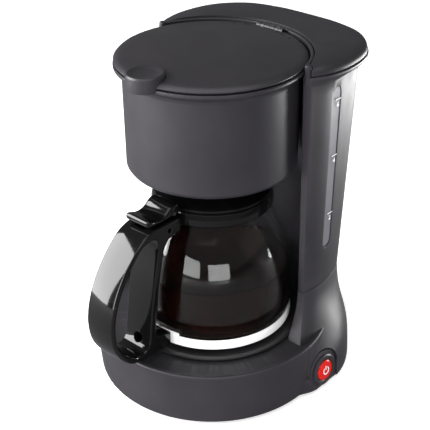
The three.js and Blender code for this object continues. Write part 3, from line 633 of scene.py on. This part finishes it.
def creased(grip, height=1.0, steps=300, plain=8, fade=40):
    """Raises the middle of the grip's outer face to a soft ridge that fades out at both ends."""
    upper = 2 * steps // 3                        # as far as here the face looks away from the carafe
    edit = bmesh.new()
    edit.from_mesh(grip.data)
    bmesh.ops.bisect_plane(edit, geom=[*edit.verts, *edit.edges, *edit.faces], plane_co=(0, 0, 0),
                           plane_no=(1, 0, 0))
    outer = catmull(D_OUTER, steps)
    for v in edit.verts:
        if abs(v.co.x) < 1e-3:
            gap = np.linalg.norm(outer - np.array([-v.co.y, v.co.z]), axis=1)
            near = int(gap.argmin())
            if gap[near] < 0.4 and plain < near < steps - plain:
                along = outer[near + 1] - outer[near - 1]
                out = np.array([-along[1], along[0]]) / np.linalg.norm(along)
                if out[0] < 0 and near < upper:
                    out = -out
                ease = min(1, (near - plain) / fade, (steps - plain - near) / fade)
                v.co.y -= height * ease * out[0]
                v.co.z += height * ease * out[1]
    edit.to_mesh(grip.data)
    edit.free()
    return grip


def handle():
    outline = [(49.4, 146.5), (49.4, 157.6), (52, 158.6), *catmull(D_OUTER, 72), (72, 49.8), (64.4, 49.8),
               (64.4, 61), (70, 63.4), (79, 66), (79.6, 74), (75, 106), (67.6, 139), (62, 144.6)]
    grip = flat_piece("carafe_handle", outline, HANDLE_W, 1.6, [catmull(D_HOLE, 84)])
    screw = shift(0, -(R_BAND + 2.6), 55) @ Matrix.Rotation(math.radians(70), 4, "X")
    grip = cut(grip, rod(48.6, 130, 170), rod(R_BAND + 2.2, 40, 64), block(-5.4, 5.4, -80, -66, 154.6, 164),
               rod(2, -20, 20, across_x(-62, 152), 32), rod(2.2, -4, 10, screw, 32), rod(4.4, 6.6, 30, screw, 32))
    keep(creased(grip), "carafe", GLOSS, ["handle"], 12)
    lobe = catmull([(47.4, 164.4), (49.2, 168.4), (52.4, 170.2), (56.6, 169.8), (60, 167.8), (63.4, 165.2),
                    (68, 163.9), (73, 164.2), (77.6, 165.8), (80.6, 166.4), (82, 165), (81.6, 162),
                    (79.6, 160.5)], 60)
    thumb = flat_piece("thumb_lever", [(47.4, 161.2), *lobe, (60, 160.2)], 24, 2.2)
    thumb = cut(thumb, rod(1.9, -20, 20, across_x(-55.6, 163.4), 32), rod(47.2, 150, 180))
    keep(thumb, "carafe", GLOSS, ["lid_lever"])


# ---- CAD nodes that stay ---------------------------------------------------------------------------
def carried():
    slots = {s["node"]: s["material_slot"] for s in frame["record"]["subparts"]}
    for name, node in NODES.items():
        if node.hide_render:
            continue
        node.data.materials.clear()
        node.data.materials.append(BY_SLOT[slots[name]])
        node.data.shade_smooth()
        node.data.set_sharp_from_angle(angle=math.radians(38))


# ---- stage -----------------------------------------------------------------------------------------
def lamp(name, where, size, power, target=(0, 0, 0.13), mirrored=True):
    data = bpy.data.lights.new(name, "AREA")
    data.shape, data.size, data.size_y, data.energy = "RECTANGLE", *size, power
    obj = bpy.data.objects.new(name, data)
    bpy.context.scene.collection.objects.link(obj)
    obj.location = where
    obj.rotation_mode = "QUATERNION"
    obj.visible_camera, obj.visible_glossy = False, mirrored
    obj.rotation_quaternion = (Vector(target) - Vector(where)).to_track_quat("-Z", "Y")


def stage():
    floor = make("floor", [(-30, -30, 0), (30, -30, 0), (30, 30, 0), (-30, 30, 0)], [[0, 1, 2, 3]])
    # white to the eye, grey to everything that mirrors it
    material, tree, surface = shader("floor_paper", Roughness=0.9)
    path, pale = tree.nodes.new("ShaderNodeLightPath"), tree.nodes.new("ShaderNodeMix")
    pale.data_type = "RGBA"
    tree.links.new(path.outputs["Is Camera Ray"], pale.inputs["Factor"])
    pale.inputs["A"].default_value = (0.16, 0.16, 0.165, 1)
    tree.links.new(ramp(tree, noise(tree, 3), (0.93, 0.93, 0.93), (0.95, 0.95, 0.95)), pale.inputs["B"])
    tree.links.new(pale.outputs["Result"], surface.inputs["Base Color"])
    surface.inputs["Emission Color"].default_value = (1, 1, 1, 1)
    glow = ramp(tree, path.outputs["Is Camera Ray"], 0.0, 0.52, 0, 1)
    tree.links.new(glow, surface.inputs["Emission Strength"])
    floor.data.materials.append(material)
    world = bpy.data.worlds.new("studio")
    world.use_nodes = True
    nodes, links = world.node_tree.nodes, world.node_tree.links
    seen, lit = nodes["Background"], nodes.new("ShaderNodeBackground")
    seen.inputs["Color"].default_value = (1, 1, 1, 1)
    lit.inputs["Color"].default_value, lit.inputs["Strength"].default_value = (1, 1, 1, 1), 0.17
    mix, path = nodes.new("ShaderNodeMixShader"), nodes.new("ShaderNodeLightPath")
    links.new(path.outputs["Is Camera Ray"], mix.inputs["Fac"])
    links.new(lit.outputs["Background"], mix.inputs[1])
    links.new(seen.outputs["Background"], mix.inputs[2])
    links.new(mix.outputs["Shader"], nodes["World Output"].inputs["Surface"])
    bpy.context.scene.world = world
    lamp("left_window", (-1.0, -0.9, 0.62), (1.0, 1.3), 46)
    lamp("window_strip", (-0.42, -1.2, 0.5), (0.16, 1.0), 6)
    lamp("overhead", (0.42, -0.5, 1.6), (2.0, 2.0), 17)
    lamp("low_back", (0.26, 0.56, 0.02), (0.5, 0.24), 5.5, target=(0.08, 0.06, 0.16))
    lamp("low_front", (0.0, -1.1, 0.12), (0.9, 0.2), 10, mirrored=False)
    lamp("low_right", (0.95, -0.78, 0.10), (0.7, 0.2), 12, target=(0, 0, 0.05), mirrored=False)
    bpy.context.scene.view_settings.view_transform = "Standard"


def camera():
    azimuth, elevation, roll = (math.radians(v) for v in (42.45, 29.72, -0.68))
    back = Vector((math.sin(azimuth) * math.cos(elevation), -math.cos(azimuth) * math.cos(elevation),
                   math.sin(elevation)))
    right = Vector((math.cos(azimuth), math.sin(azimuth), 0))
    up = back.cross(right)
    across = math.cos(roll) * right + math.sin(roll) * up
    upward = -math.sin(roll) * right + math.cos(roll) * up
    data = bpy.data.cameras.new("camera")
    data.lens, data.sensor_width = 84.62, 36
    obj = bpy.data.objects.new("camera", data)
    bpy.context.scene.collection.objects.link(obj)
    obj.matrix_world = Matrix.Translation((0.4701, -0.5115 + AXIS_Y / 1000, 0.5301)) @ Matrix(
        (across, upward, back)).transposed().to_4x4()
    bpy.context.scene.camera = obj


camera()
lower_housing()
tank_housing()
level_window()
rear_cover()
brew_head()
front_lid()
warming_plate()
switch()
carafe()
handle()
carried()
stage()
